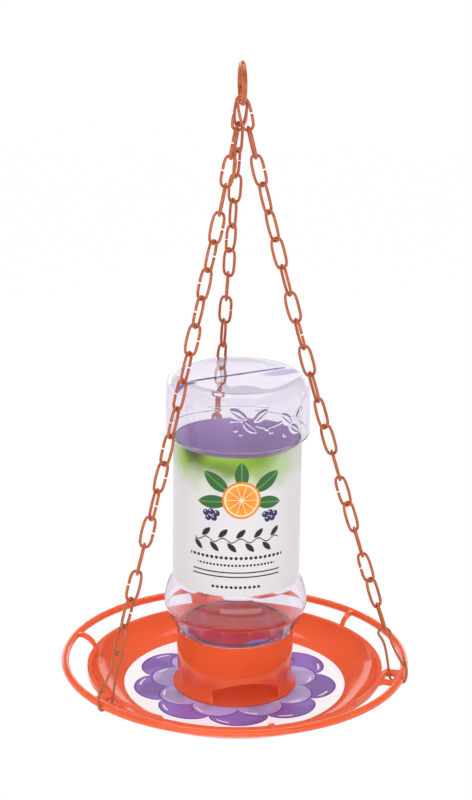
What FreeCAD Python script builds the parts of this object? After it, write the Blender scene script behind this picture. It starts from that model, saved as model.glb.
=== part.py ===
"""Hanging feeder: a dish with a perch ring, a jar on a feeding base, three chains."""

import FreeCAD, Part
import math
import os

import Sketcher
from FreeCAD import Placement, Rotation, Vector

SIZES = [
    # Tray
    ("rim_radius", 98.0, "outside of the dish"),
    ("rim_height", 19.4, "top of the rim"),
    ("rim_width", 2.8, "flat top of the rim"),
    ("rim_depth", 3.6, "outer face of the rim"),
    ("bowl_reach", 23.0, "from the outside of the rim to the edge of the flat floor"),
    ("bowl_radius", 26.0, "curve of the dish wall"),
    ("floor_wall", 2.0, "thickness of the floor"),
    ("foot_height", 4.0, "foot ring, and underside of the floor"),
    ("foot_inset", 9.0, "from the edge of the flat floor to the foot ring"),
    ("foot_width", 2.4, "wall of the foot ring"),
    ("perch_gap", 14.5, "from the outside of the rim to the middle of the perch ring's tube"),
    ("perch_rise", 4.3, "from the rim up to the middle of that tube"),
    ("perch_wire", 5.0, "diameter of that tube"),
    # Tabs and spokes between rim and perch ring
    ("tab_wall", 2.4, "thickness of a tab"),
    ("tab_rise", 2.0, "tab's upper face above the middle of the perch ring's tube"),
    ("tab_curve", 9.0, "curve of a tab's upper face beside the rim"),
    ("tab_half_angle", 6.0, "half of a tab's width, in degrees"),
    ("gusset_angle", 15.0, "reach of a tab's gusset along the rim, in degrees"),
    ("gusset_width", 3.2, "gusset beside the slot"),
    ("hole_inset", 6.5, "from the middle of a clip hole to the middle of the tube"),
    ("hole_length", 10.0, "clip hole along the rim"),
    ("hole_width", 6.0, "clip hole across the tab"),
    ("hole_corner", 2.2, "round at the corners of a clip hole"),
    ("spoke_width", 2.9, "width of a spoke"),
    ("spoke_wall", 2.7, "thickness of a spoke"),
    ("spoke_rim_angle", 27.8, "where a side spoke leaves the rim, in degrees"),
    ("spoke_slant", 16.0, "lean of a side spoke away from the radius, in degrees"),
    ("spoke_curve", 12.0, "arch of a spoke"),
    # Bayonet between base and tray
    ("hook_inset", 10.8, "from the outside of the collar to the inside of a hook"),
    ("hook_wall", 2.0, "stem of a hook"),
    ("hook_lip", 2.3, "reach of a hook's lip"),
    ("hook_lip_wall", 1.6, "thickness of a hook's lip"),
    ("hook_play", 0.4, "room between lip and tray floor, and round a stem"),
    ("hook_angle", 14.0, "width of a hook, in degrees"),
    ("hook_side_play", 1.0, "room at the ends of a slot, in degrees"),
    ("lock_angle", 30.0, "turn that frees the base, in degrees"),
    # Printed card
    ("card_inset", 1.5, "from the edge of the flat floor to the card"),
    ("card_wall", 0.5, "thickness of the card"),
    ("card_hole_room", 3.3, "room between the bayonet slots and the card's hole"),
    # Feeding base
    ("base_play", 0.2, "room between card and base"),
    ("base_floor", 1.2, "floor of the base, and upright edge of its foot"),
    ("collar_radius", 38.8, "collar at its top"),
    ("collar_height", 40.3, "base from its underside to the top of the collar"),
    ("collar_wall", 2.0, "wall of the collar"),
    ("collar_draft", 0.8, "collar narrower at its foot"),
    ("foot_reach", 2.8, "flared foot, out from the collar"),
    ("flare_height", 7.3, "height of the flare above the foot's edge"),
    ("flare_curve", 11.5, "curve of the flare"),
    ("seat_depth", 17.0, "from the top of the collar to the ledge that the jar stands on"),
    ("seat_wall", 2.0, "thickness of the ledge"),
    ("seat_reach", 6.0, "width of the ledge"),
    ("window_width", 43.6, "feeding window between its upright sides"),
    ("window_side", 7.1, "height of a window's upright sides"),
    ("window_rise", 6.5, "rise of a window's arch"),
    # Jar
    ("jar_play", 0.3, "room between jar and base"),
    ("jar_wall", 1.2, "wall of the jar"),
    ("neck_wall", 2.0, "wall of the neck"),
    ("neck_play", 1.2, "room for the thread between neck and collar"),
    ("shoulder_inset", 0.4, "shoulder narrower than the collar"),
    ("taper_height", 14.2, "straight taper from the shoulder to the belly"),
    ("belly_round_step", 0.9, "growth from the taper to the widest part"),
    ("belly_round_rise", 4.5, "height of that round"),
    ("belly_round", 11.0, "curve of that round"),
    ("belly_step", 5.6, "belly wider than the straight part"),
    ("belly_fall", 18.5, "from the widest part up to the straight part"),
    ("belly_curve", 33.4, "curve of the belly above its widest part"),
    ("waist_radius", 41.2, "straight part under the label"),
    ("waist_length", 95.0, "straight part"),
    ("head_step", 5.2, "head wider than the straight part"),
    ("head_rise", 7.0, "height of the round under the head"),
    ("head_curve", 6.6, "curve of that round"),
    ("head_side", 26.5, "straight side of the head"),
    ("crown_curve", 8.4, "round at the top of the head"),
    # Label
    ("label_wall", 0.25, "thickness of the label"),
    ("label_play", 0.05, "room between label and jar"),
    ("label_margin", 0.4, "straight part left bare above and below the label"),
    # Hanger
    ("ring_radius", 12.4, "middle of the hanging ring's wire"),
    ("ring_wire", 3.2, "wire of the hanging ring"),
    ("ring_turn", -6.0, "turn of the ring about the upright, in degrees"),
    # Chains: their slope and the length of a link follow from the jar, the tray and these
    ("chain_room", 5.7, "from the jar's head to a line between a chain's ends, level with the jar's top"),
    ("chain_sag", 3.6, "sag of a chain towards the jar, at its middle"),
    ("anchor_inset", 1.3, "from the middle of the perch tube in to a chain's line"),
    ("anchor_drop", 1.2, "from the middle of the perch tube down to that point"),
    ("clip_reach", 35.3, "from the last link down to that point"),
    ("link_wire", 2.0, "wire of a link"),
    ("link_width", 9.5, "link, outside"),
    ("link_gap", 1.0, "gap in the open leg of a link"),
    ("link_play", 0.2, "room between hooked links"),
    ("ring_play", 0.3, "room between the hanging ring and a first link"),
    ("link_spread", 3.2, "step between the chains along the ring's wire"),
    # Clips
    ("clip_wire", 1.7, "wire of a clip"),
    ("clip_play", 0.15, "room between a clip and what it holds"),
    ("clip_loop", 4.2, "middle of the wire in the clip's upper loop, as a radius"),
    ("clip_neck", 3.4, "wires of the neck under the loop, middle to middle"),
    ("clip_tip", 15.7, "free end above the middle of the perch ring's tube"),
    ("clip_spread", 4.4, "free end's reach out from the middle of the perch ring's tube"),
]

CHAIN_LINKS = 20
WIRE_SIDES = 6
BEND_CORNERS = 4

# Every link's turn about its chain in degrees, and the leg that has an open joint, or 0 for a closed one
RIGHT_LINKS = [
    (0, 1), (83, 0), (18, 1), (-47, 0), (50, 0), (-12, 0), (73, 0), (5, 0), (76, 1), (13, 0),
    (76, 0), (-36, 0), (27, 0), (91, 0), (31, -1), (-30, 0), (-91, 0), (28, -1), (-33, 0), (86, 0),
]
LEFT_LINKS = [
    (0, -1), (-66, -1), (4, -1), (-77, 0), (18, 1), (-44, 1), (38, -1), (-47, -1), (18, 1), (-53, 1),
    (53, -1), (-53, -1), (50, -1), (-24, 1), (76, 1), (13, 1), (97, 0), (23, -1), (-47, 1), (60, 0),
]
BACK_LINKS = [
    (0, 1), (62, 0), (-57, 1), (4, 0), (67, 0), (-34, -1), (33, 0), (95, 0), (18, 1), (79, 0),
    (-40, 0), (22, -1), (84, 0), (12, 1), (-60, 0), (10, 0), (85, 0), (20, 1), (-50, 0), (15, 0),
]

doc = FreeCAD.newDocument("Feeder")
sheet = doc.addObject("Spreadsheet::Sheet", "Sizes")
for row, (alias, number, note) in enumerate(SIZES, start=1):
    sheet.set("A%d" % row, alias)
    sheet.set("B%d" % row, str(number))
    sheet.setAlias("B%d" % row, alias)
    sheet.set("C%d" % row, note)
doc.recompute()


class Size:
    """A number worked out from the sheet, with the formula that binds it there."""

    def __init__(self, value, formula):
        self.value = float(value)
        self.formula = formula

    def join(self, sign, other, value):
        if not isinstance(other, Size):
            other = Size(other, repr(other))
        return Size(value, "(%s %s %s)" % (self.formula, sign, other.formula))

    def __add__(self, other):
        return self.join("+", other, self.value + amount(other))

    def __sub__(self, other):
        return self.join("-", other, self.value - amount(other))

    def __mul__(self, other):
        return self.join("*", other, self.value * amount(other))

    def __truediv__(self, other):
        return self.join("/", other, self.value / amount(other))

    def __neg__(self):
        return Size(-self.value, "(0 - %s)" % self.formula)


def amount(size):
    return size.value if isinstance(size, Size) else float(size)


def size(alias):
    return Size(sheet.get(alias), "Sizes." + alias)


def fixed(number):
    return Size(number, repr(float(number)))


def root(area):
    return Size(math.sqrt(area.value), "sqrt(%s)" % area.formula)


def cosine(angle):
    return Size(math.cos(math.radians(angle.value)), "cos(%s)" % angle.formula)


def sine(angle):
    return Size(math.sin(math.radians(angle.value)), "sin(%s)" % angle.formula)


# Sketch and feature helpers

def plane(body, role):
    for feature in body.Origin.OriginFeatures:
        if feature.Role == role:
            return feature
    raise ValueError(role)


def new_body(name):
    body = doc.addObject("PartDesign::Body", name + "_body")
    body.Label = name
    return body


def new_sketch(body, name, role="XZ_Plane", turn=None, shift=None):
    """A sketch on one of the body's planes, turned about the upright axis and shifted in its plane."""
    sketch = body.newObject("Sketcher::SketchObject", name)
    sketch.AttachmentSupport = (plane(body, role), [""])
    sketch.MapMode = "FlatFace"
    axis = Vector(0, 1, 0) if role == "XZ_Plane" else Vector(0, 0, 1)
    angle = turn.value if turn else 0
    x, y = (shift[0].value, shift[1].value) if shift else (0, 0)
    base = Vector(x, 0, -y) if role == "XZ_Plane" else Vector(x, y, 0)
    sketch.AttachmentOffset = Placement(base, Rotation(axis, angle))
    if turn:
        sketch.setExpression("AttachmentOffset.Rotation.Angle", turn.formula)
    if shift:
        sketch.setExpression("AttachmentOffset.Base.x", shift[0].formula)
        sketch.setExpression("AttachmentOffset.Base.z", (-shift[1]).formula)
    return sketch


def bind(sketch, kind, name, value, *places):
    index = sketch.addConstraint(Sketcher.Constraint(kind, *places, value.value))
    sketch.renameConstraint(index, name)
    sketch.setExpression("Constraints." + name, value.formula)


def outline(sketch, corners):
    """Close a profile through corners (x, y) or (x, y, radius).

    A radius makes the edge to the next corner an arc: it bulges to the right of
    the way along the outline where the radius is positive, and to the left where it is negative.
    """
    count = len(corners)
    for number, corner in enumerate(corners):
        start = Vector(corner[0].value, corner[1].value, 0)
        after = corners[(number + 1) % count]
        end = Vector(after[0].value, after[1].value, 0)
        if len(corner) == 2:
            sketch.addGeometry(Part.LineSegment(start, end), False)
        else:
            sketch.addGeometry(arc_between(start, end, corner[2].value), False)
    ends = [edge_ends(corner) for corner in corners]
    for number in range(count):
        after = (number + 1) % count
        joined = (number, ends[number][1], after, ends[after][0])
        sketch.addConstraint(Sketcher.Constraint("Coincident", *joined))
    for number, corner in enumerate(corners):
        bind(sketch, "DistanceX", "across%d" % number, corner[0], -1, 1, number, ends[number][0])
        bind(sketch, "DistanceY", "up%d" % number, corner[1], -1, 1, number, ends[number][0])
        if len(corner) == 3:
            radius = corner[2] if corner[2].value > 0 else -corner[2]
            bind(sketch, "Radius", "round%d" % number, radius, number)


def edge_ends(corner):
    """Start and end point numbers of an edge: a clockwise arc is stored the other way round."""
    clockwise = len(corner) == 3 and corner[2].value < 0
    return (2, 1) if clockwise else (1, 2)


def arc_between(start, end, radius):
    """Arc from start to end, counter-clockwise for a positive radius and clockwise for a negative one."""
    chord = end - start
    side = Vector(-chord.y, chord.x, 0)
    side.normalize()
    reach = math.sqrt(radius * radius - chord.Length ** 2 / 4)
    sign = 1 if radius > 0 else -1
    centre = (start + end) * 0.5 + side * (reach * sign)
    circle = Part.Circle(centre, Vector(0, 0, 1), abs(radius))
    first, last = (start, end) if radius > 0 else (end, start)
    begin = math.atan2(first.y - centre.y, first.x - centre.x)
    finish = math.atan2(last.y - centre.y, last.x - centre.x)
    return Part.ArcOfCircle(circle, begin, finish)


def box_corners(left, right, bottom, top):
    return [(left, bottom), (right, bottom), (right, top), (left, top)]


def add_feature(body, kind, name, sketch):
    feature = body.newObject("PartDesign::" + kind, name)
    feature.Profile = sketch
    sketch.Visibility = False
    body.Tip = feature
    return feature


def turn_profile(body, kind, name, sketch, angle=None):
    """Revolution or Groove about the upright axis, whole or by the angle on both sides of the sketch."""
    feature = add_feature(body, kind, name, sketch)
    feature.ReferenceAxis = (sketch, ["V_Axis"])
    if angle is None:
        feature.Angle = 360
    else:
        feature.Midplane = True
        feature.Angle = angle.value
        feature.setExpression("Angle", angle.formula)
    return feature


def three_of(body, name, features):
    pattern = body.newObject("PartDesign::PolarPattern", name)
    pattern.Originals = features
    pattern.Axis = (plane(body, "Z_Axis"), [""])
    pattern.Angle = 360
    pattern.Occurrences = 3
    body.Tip = pattern
    return pattern


def mirrored(body, name, features):
    mirror = body.newObject("PartDesign::Mirrored", name)
    mirror.Originals = features
    mirror.MirrorPlane = (plane(body, "YZ_Plane"), [""])
    body.Tip = mirror
    return mirror


def checked(body, name, wanted):
    """Recompute, and stop where a feature added or cut nothing."""
    before = checked.volumes.get(body.Name, 0.0)
    doc.recompute()
    volume = body.Shape.Volume
    if wanted * (volume - before) <= 0:
        raise RuntimeError("%s changed the volume from %.2f to %.2f" % (name, before, volume))
    checked.volumes[body.Name] = volume


checked.volumes = {}
ADDS, CUTS = 1, -1
zero = fixed(0)

# Places that several pieces share
floor_radius = size("rim_radius") - size("bowl_reach")
floor_top = size("foot_height") + size("floor_wall")
perch_radius = size("rim_radius") + size("perch_gap")
perch_height = size("rim_height") + size("perch_rise")
hole_radius = perch_radius - size("hole_inset")
tab_top = perch_height + size("tab_rise")
hook_radius = size("collar_radius") - size("hook_inset")
hook_stem_outside = hook_radius + size("hook_wall")
hook_lip_outside = hook_stem_outside + size("hook_lip")
card_top = floor_top + size("card_wall")
base_bottom = card_top + size("base_play")
base_floor_top = base_bottom + size("base_floor")
collar_top = base_bottom + size("collar_height")
collar_inside = size("collar_radius") - size("collar_wall")
seat_height = collar_top - size("seat_depth")
neck_radius = collar_inside - size("neck_play")
jar_shoulder = collar_top + size("jar_play")
belly_radius = size("waist_radius") + size("belly_step")
belly_height = jar_shoulder + size("taper_height") + size("belly_round_rise")
waist_bottom = belly_height + size("belly_fall")
waist_top = waist_bottom + size("waist_length")
head_radius = size("waist_radius") + size("head_step")
jar_top = waist_top + size("head_rise") + size("head_side") + size("crown_curve")
anchor_radius = perch_radius - size("anchor_inset")
anchor_height = perch_height - size("anchor_drop")
slope = anchor_radius / (anchor_radius - head_radius - size("chain_room"))
hang_height = anchor_height + (jar_top - anchor_height) * slope
right_anchor = fixed(-30)
left_anchor = fixed(-150)
back_anchor = fixed(90)
front_side = fixed(-90)


def polar(radius, angle):
    return radius * cosine(angle), radius * sine(angle)


def cut_through(body, name, sketch):
    """Pocket all the way through the body on both sides of the sketch."""
    pocket = add_feature(body, "Pocket", name, sketch)
    pocket.SideType = "Symmetric"
    pocket.Type = "ThroughAll"
    checked(body, name, CUTS)
    return pocket


def add_tab(body, name, anchor, side):
    """Web from rim to perch ring, with its gusset, clip hole and open slot.

    The gusset reaches along the rim towards falling angles where side is -1.
    """
    half = size("tab_half_angle")
    reach = half + size("gusset_angle")
    near = anchor - half * side
    far = anchor + reach * side
    web = new_sketch(body, name + "_profile", turn=(near + far) / 2)
    inside = size("rim_radius") - 1.0
    rim_top = size("rim_height") - 0.2
    knee = hole_radius - size("hole_width") / 2 - 1.6
    outline(web, [
        (inside, rim_top - size("tab_wall")),
        (knee + 1.0, tab_top - size("tab_wall")),
        (perch_radius, tab_top - size("tab_wall")),
        (perch_radius, tab_top),
        (knee, tab_top, size("tab_curve")),
        (inside, rim_top),
    ])
    tab = turn_profile(body, "Revolution", name, web, reach + half)
    checked(body, name, ADDS)

    flare = anchor + (half - 1.0) * side
    slot = new_sketch(body, name + "_slot_outline", "XY_Plane")
    outer = perch_radius + 2.0
    outline(slot, [
        polar(size("rim_radius") + 0.4, far + 1.0 * side),
        polar(size("rim_radius") + size("gusset_width") * 0.5, anchor + (half + 3.0) * side),
        polar(size("rim_radius") + size("gusset_width") * 2, flare),
        polar(outer, flare),
        polar(outer, far + 3.0 * side),
    ])
    slot_cut = cut_through(body, name + "_slot", slot)

    hole = new_sketch(body, name + "_hole_outline", "XY_Plane", turn=anchor)
    outline(hole, rounded_box(hole_radius, size("hole_width") / 2, size("hole_length") / 2,
                              size("hole_corner")))
    hole_cut = cut_through(body, name + "_hole", hole)
    return [tab, slot_cut, hole_cut]


def rounded_box(middle, half_width, half_length, corner):
    """Corners of a rectangle round (middle, 0) with rounded corners, counter-clockwise."""
    left = middle - half_width
    right = middle + half_width
    bottom = -half_length
    top = half_length
    return [
        (left + corner, bottom),
        (right - corner, bottom, corner),
        (right, bottom + corner),
        (right, top - corner, corner),
        (right - corner, top),
        (left + corner, top, corner),
        (left, top - corner),
        (left, bottom + corner, corner),
    ]


def add_spoke(body, name, rim_angle, slant):
    """Arched bar from the rim up to the perch ring, seen from its side."""
    start = size("rim_radius") - 0.9
    across = start * sine(slant)
    length = root(perch_radius * perch_radius - across * across) - start * cosine(slant)
    side_view = new_sketch(body, name + "_profile", turn=rim_angle + slant, shift=polar(start, rim_angle))
    rim_top = size("rim_height") - 0.3
    tube_top = perch_height + size("spoke_wall") / 2
    outline(side_view, [
        (zero, rim_top - size("spoke_wall"), -size("spoke_curve")),
        (length, tube_top - size("spoke_wall")),
        (length, tube_top, size("spoke_curve")),
        (zero, rim_top),
    ])
    bar = add_feature(body, "Pad", name, side_view)
    bar.SideType = "Symmetric"
    bar.Length = size("spoke_width").value
    bar.setExpression("Length", size("spoke_width").formula)
    checked(body, name, ADDS)
    return bar


def add_perch_ring(body):
    section = new_sketch(body, "perch_section")
    radius = size("perch_wire") / 2
    middle = Vector(perch_radius.value, perch_height.value, 0)
    section.addGeometry(Part.Circle(middle, Vector(0, 0, 1), radius.value), False)
    bind(section, "DistanceX", "across", perch_radius, -1, 1, 0, 3)
    bind(section, "DistanceY", "up", perch_height, -1, 1, 0, 3)
    bind(section, "Radius", "round", radius, 0)
    turn_profile(body, "Revolution", "perch_ring", section)
    checked(body, "perch_ring", ADDS)


def make_tray():
    """Dish, foot ring, spokes, tabs and perch ring are one moulding."""
    body = new_body("tray")
    wall = size("floor_wall")
    rim_under = size("rim_height") - size("rim_depth")
    foot_radius = floor_radius - size("foot_inset")
    dish = new_sketch(body, "dish_profile")
    outline(dish, [
        (zero, floor_top),
        (zero, size("foot_height")),
        (foot_radius - size("foot_width"), size("foot_height")),
        (foot_radius - size("foot_width"), zero),
        (foot_radius, zero),
        (foot_radius, size("foot_height")),
        (floor_radius + 1.0, size("foot_height"), size("bowl_radius") + wall),
        (size("rim_radius") - size("rim_width") + wall, rim_under),
        (size("rim_radius"), rim_under),
        (size("rim_radius"), size("rim_height")),
        (size("rim_radius") - size("rim_width"), size("rim_height"), -size("bowl_radius")),
        (floor_radius, floor_top),
    ])
    turn_profile(body, "Revolution", "dish", dish)
    checked(body, "dish", ADDS)

    right = add_tab(body, "right_tab", right_anchor, -1)
    right.append(add_spoke(body, "right_spoke", size("spoke_rim_angle"), size("spoke_slant")))
    mirrored(body, "left_side", right)
    checked(body, "left_side", ADDS)
    add_tab(body, "back_tab", back_anchor, -1)
    add_spoke(body, "front_spoke", front_side, zero)
    add_perch_ring(body)

    play = size("hook_play")
    inside = hook_radius - play
    room = size("hook_angle") + size("hook_side_play") * 2
    travel = new_sketch(body, "hook_slot_profile", turn=back_anchor + size("lock_angle") / 2)
    under, over = size("foot_height") - 1.0, floor_top + 1.0
    outline(travel, box_corners(inside, hook_stem_outside + play, under, over))
    travel_cut = turn_profile(body, "Groove", "hook_slot", travel, room + size("lock_angle"))
    checked(body, "hook_slot", CUTS)
    entry = new_sketch(body, "hook_entry_profile", turn=back_anchor + size("lock_angle"))
    outline(entry, box_corners(inside, hook_lip_outside + play, under, over))
    entry_cut = turn_profile(body, "Groove", "hook_entry", entry, room)
    checked(body, "hook_entry", CUTS)
    three_of(body, "hook_slots", [travel_cut, entry_cut])
    checked(body, "hook_slots", CUTS)
    return body


def make_card():
    """Printed card that lies on the dish's floor under the base."""
    body = new_body("insert_card")
    profile = new_sketch(body, "card_profile")
    hole = hook_lip_outside + size("hook_play") + size("card_hole_room")
    outline(profile, box_corners(hole, floor_radius - size("card_inset"), floor_top, card_top))
    turn_profile(body, "Revolution", "card", profile)
    checked(body, "card", ADDS)
    return body


def make_base():
    """Cup on a flared foot, with three arched windows, a ledge for the jar and three bayonet hooks."""
    body = new_body("feeding_base")
    profile = new_sketch(body, "base_profile")
    collar_foot = size("collar_radius") - size("collar_draft")
    foot_radius = collar_foot + size("foot_reach")
    seat_inside = collar_inside - size("seat_reach")
    seat_under = seat_height - size("seat_wall")
    outline(profile, [
        (zero, base_bottom),
        (foot_radius, base_bottom),
        (foot_radius, base_floor_top, -size("flare_curve")),
        (collar_foot, base_floor_top + size("flare_height")),
        (size("collar_radius"), collar_top),
        (collar_inside, collar_top),
        (collar_inside, seat_height),
        (seat_inside, seat_height),
        (seat_inside, seat_under),
        (collar_inside - 0.4, seat_under),
        (collar_foot - size("collar_wall"), base_floor_top),
        (zero, base_floor_top),
    ])
    turn_profile(body, "Revolution", "cup", profile)
    checked(body, "cup", ADDS)

    half = size("window_width") / 2
    rise = size("window_rise")
    side_top = base_floor_top + size("window_side")
    arch = (half * half + rise * rise) / (rise * 2)
    window = new_sketch(body, "window_outline")
    outline(window, [
        (-half, base_floor_top),
        (half, base_floor_top),
        (half, side_top, arch),
        (-half, side_top),
    ])
    opening = add_feature(body, "Pocket", "window", window)
    opening.SideType = "One side"
    opening.Type = "Length"
    opening.Reversed = True
    opening.Length = foot_radius.value
    opening.setExpression("Length", foot_radius.formula)
    checked(body, "window", CUTS)

    lip_top = size("foot_height") - size("hook_play")
    lip_bottom = lip_top - size("hook_lip_wall")
    hook_profile = new_sketch(body, "hook_profile", turn=back_anchor)
    outline(hook_profile, [
        (hook_radius, lip_bottom),
        (hook_lip_outside, lip_bottom),
        (hook_lip_outside, lip_top),
        (hook_stem_outside, lip_top),
        (hook_stem_outside, base_bottom + 0.5),
        (hook_radius, base_bottom + 0.5),
    ])
    hook = turn_profile(body, "Revolution", "hook", hook_profile, size("hook_angle"))
    checked(body, "hook", ADDS)
    windows = three_of(body, "windows", [opening])
    checked(body, "windows", CUTS)
    three_of(body, "hooks", [hook])
    checked(body, "hooks", ADDS)
    return body


def make_jar():
    """Blown jar, mouth down: neck, belly, straight part for the label, and head."""
    body = new_body("jar")
    outside = new_sketch(body, "jar_profile")
    wall = size("jar_wall")
    neck_inside = neck_radius - size("neck_wall")
    mouth = seat_height + size("jar_play")
    shoulder = size("collar_radius") - size("shoulder_inset")
    waist = size("waist_radius")
    taper_radius = belly_radius - size("belly_round_step")
    taper_top = jar_shoulder + size("taper_height")
    head_bottom = waist_top + size("head_rise")
    crown = size("crown_curve")
    crown_foot = jar_top - crown
    outline(outside, [
        (neck_inside, mouth),
        (neck_radius, mouth),
        (neck_radius, jar_shoulder),
        (shoulder, jar_shoulder),
        (taper_radius, taper_top, size("belly_round")),
        (belly_radius, belly_height, size("belly_curve")),
        (waist, waist_bottom),
        (waist, waist_top, size("head_curve")),
        (head_radius, head_bottom),
        (head_radius, crown_foot, crown),
        (head_radius - crown, jar_top),
        (zero, jar_top),
        (zero, jar_top - wall),
        (head_radius - crown, jar_top - wall, -(crown - wall)),
        (head_radius - wall, crown_foot),
        (head_radius - wall, head_bottom, -size("head_curve")),
        (waist - wall, waist_top),
        (waist - wall, waist_bottom, -size("belly_curve")),
        (belly_radius - wall, belly_height, -size("belly_round")),
        (taper_radius - wall, taper_top),
        (shoulder - wall, jar_shoulder + wall),
        (neck_inside, jar_shoulder + wall),
    ])
    turn_profile(body, "Revolution", "jar_wall", outside)
    checked(body, "jar_wall", ADDS)
    return body


def make_label():
    """Sleeve round the straight part of the jar."""
    body = new_body("jar_label")
    profile = new_sketch(body, "label_profile")
    inside = size("waist_radius") + size("label_play")
    margin = size("label_margin")
    outside = inside + size("label_wall")
    outline(profile, box_corners(inside, outside, waist_bottom + margin, waist_top - margin))
    turn_profile(body, "Revolution", "label", profile)
    checked(body, "label", ADDS)
    return body


def make_hanging_ring():
    """Closed wire ring, upright, that the three chains hang from."""
    ring = doc.addObject("Part::Torus", "hanging_ring_torus")
    ring.Label = "hanging_ring"
    ring.setExpression("Radius1", size("ring_radius").formula)
    ring.setExpression("Radius2", (size("ring_wire") / 2).formula)
    height = hang_height + size("ring_radius")
    upright = Rotation(Vector(0, 1, 0), 90)
    turned = Rotation(Vector(0, 0, 1), size("ring_turn").value)
    ring.Placement = Placement(Vector(0, 0, height.value), turned.multiply(upright))
    ring.setExpression("Placement.Base.z", height.formula)
    return ring


# Wire work: straight prisms joined at mitres, few-sided because many pieces repeat them

def wire_section(start, along, across, radius):
    """Regular section round the start of a wire, one flat facing across."""
    across = across - along * across.dot(along)
    across.normalize()
    other = along.cross(across)
    corner = radius / math.cos(math.pi / WIRE_SIDES)
    points = []
    for number in range(WIRE_SIDES + 1):
        angle = (number + 0.5) * 2 * math.pi / WIRE_SIDES
        points.append(start + across * (corner * math.cos(angle)) + other * (corner * math.sin(angle)))
    return Part.makePolygon(points)


def bent_wire(points, across, radius):
    """Solid wire along the points, with mitred bends; closed where the first point is also the last."""
    along = points[1] - points[0]
    along.normalize()
    section = wire_section(points[0], along, across, radius)
    return Part.makePolygon(points).makePipeShell([section], True, False, 1)


def bend(centre, radius, first, last, steps):
    """Corners of a bend drawn round a circle in the XZ plane, from one angle to another in degrees."""
    turn = math.radians(last - first) / steps
    reach = radius / math.cos(turn / 2)
    corners = []
    for number in range(steps):
        angle = math.radians(first) + (number + 0.5) * turn
        corners.append(centre + Vector(math.cos(angle), 0, math.sin(angle)) * reach)
    return corners


def make_link(open_side):
    """One link upright in the XZ plane, upper inner end at the origin; with a side, that leg is open."""
    wire = size("link_wire").value / 2
    leg = size("link_width").value / 2 - wire
    top = Vector(0, 0, wire - leg)
    bottom = Vector(0, 0, leg - wire - inner_length())
    side = open_side if open_side else 1
    middle = (top + bottom) * 0.5
    half_gap = Vector(0, 0, size("link_gap").value / 2 if open_side else 0)
    start = middle + Vector(leg * side, 0, 0)
    upper = bend(top, leg, 0, 180, BEND_CORNERS)
    lower = bend(bottom, leg, 180, 360, BEND_CORNERS)
    if side < 0:
        upper = [Vector(-corner.x, 0, corner.z) for corner in upper]
        lower = [Vector(-corner.x, 0, corner.z) for corner in lower]
    points = [start + half_gap] + upper + lower + [start - half_gap]
    return bent_wire(points, Vector(1, 0, 0), wire)


def inner_length():
    """Inside length of a link, which lets the chain end one clip above the tray."""
    play = size("link_play").value
    ring_room = size("ring_wire").value / 2 + size("ring_play").value
    line_length = math.hypot(anchor_radius.value, hang_height.value - anchor_height.value)
    chain_length = line_length - size("clip_reach").value + ring_room
    return (chain_length + (CHAIN_LINKS - 1) * play) / CHAIN_LINKS


def link_start(number):
    """Distance from the ring wire's middle, down the chain, to the inner upper end of link number."""
    pitch = inner_length() - size("link_play").value
    return number * pitch - size("ring_wire").value / 2 - size("ring_play").value


class ChainLine:
    """The line of one chain, from the hanging ring's wire down to the tray, sagging between its ends."""

    def __init__(self, anchor, step):
        ring_radius = size("ring_radius").value
        along_wire = size("link_spread").value * step
        rise = ring_radius - math.sqrt(ring_radius ** 2 - along_wire ** 2)
        turn = Rotation(Vector(0, 0, 1), size("ring_turn").value)
        middle = Vector(0, 0, hang_height.value + ring_radius)
        self.start = middle + turn.multVec(Vector(0, along_wire, rise - ring_radius))
        reach = anchor_radius.value
        outward = Vector(math.cos(math.radians(anchor)), math.sin(math.radians(anchor)), 0)
        foot = outward * reach + Vector(0, 0, anchor_height.value)
        self.down = foot - self.start
        self.down.normalize()
        self.inward = self.down * outward.dot(self.down) - outward
        self.inward.normalize()
        self.front = turn.multVec(Vector(0, -1, 0))

    def point(self, distance):
        """Place at a distance from the hanging ring's wire, on a shallow bow that ends at the clip."""
        share = distance / self.link_end()
        sag = size("chain_sag").value * 4 * share * (1 - share)
        return self.start + self.down * distance + self.inward * sag

    def link_placement(self, number, turn):
        """Placement that hangs link number on the one above it, turned about the chain."""
        top = self.point(link_start(number))
        down = self.point(link_start(number) + inner_length()) - top
        down.normalize()
        front = self.front - down * self.front.dot(down)
        front.normalize()
        facing = Rotation(down, turn).multVec(front)
        return Placement(top, upright_frame(down, facing))

    def link_end(self):
        """Distance along the chain to the inner lower end of the last link."""
        return link_start(CHAIN_LINKS - 1) + inner_length()


def upright_frame(down, facing):
    """Rotation that takes -Z to down and -Y to facing."""
    up = down * -1
    back = facing * -1
    side = back.cross(up)
    return Rotation(side, back, up, "ZXY")


def make_chain(name, line, links):
    """Twenty links hooked into each other, all in one node."""
    solids = []
    for number, (turn, open_side) in enumerate(links):
        link = make_link(open_side)
        link.Placement = line.link_placement(number, turn)
        solids.append(link)
    chain = doc.addObject("Part::Feature", name + "_links")
    chain.Label = name
    chain.Shape = Part.makeCompound(solids)
    return chain


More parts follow.
